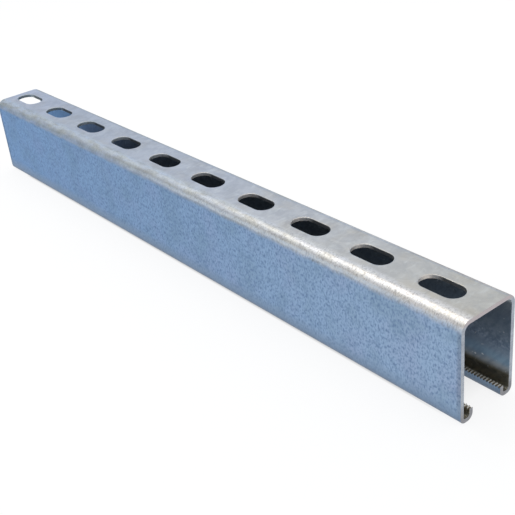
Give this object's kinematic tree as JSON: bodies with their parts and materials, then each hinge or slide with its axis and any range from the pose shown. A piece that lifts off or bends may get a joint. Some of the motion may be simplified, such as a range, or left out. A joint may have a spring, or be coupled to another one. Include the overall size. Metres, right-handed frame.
{
  "type": "slotted strut channel",
  "caption": "Deep galvanised steel C-channel with a row of slots along its web and in-turned lips with serrated rims, cut from long stock.",
  "frame": {"origin": "middle of the footprint of the piece, on the ground that its two lips rest on", "axes": "+X along the piece, +Y across it, +Z out of the slotted web, away from the open side"},
  "size_m": [0.5, 0.041, 0.062],
  "materials": {
    "galvanised_steel": "pre-galvanised, bluish grey with fine spangle"
  },
  "bodies": {
    "root": {"strut_channel": "galvanised_steel"}
  },
  "joints": []
}
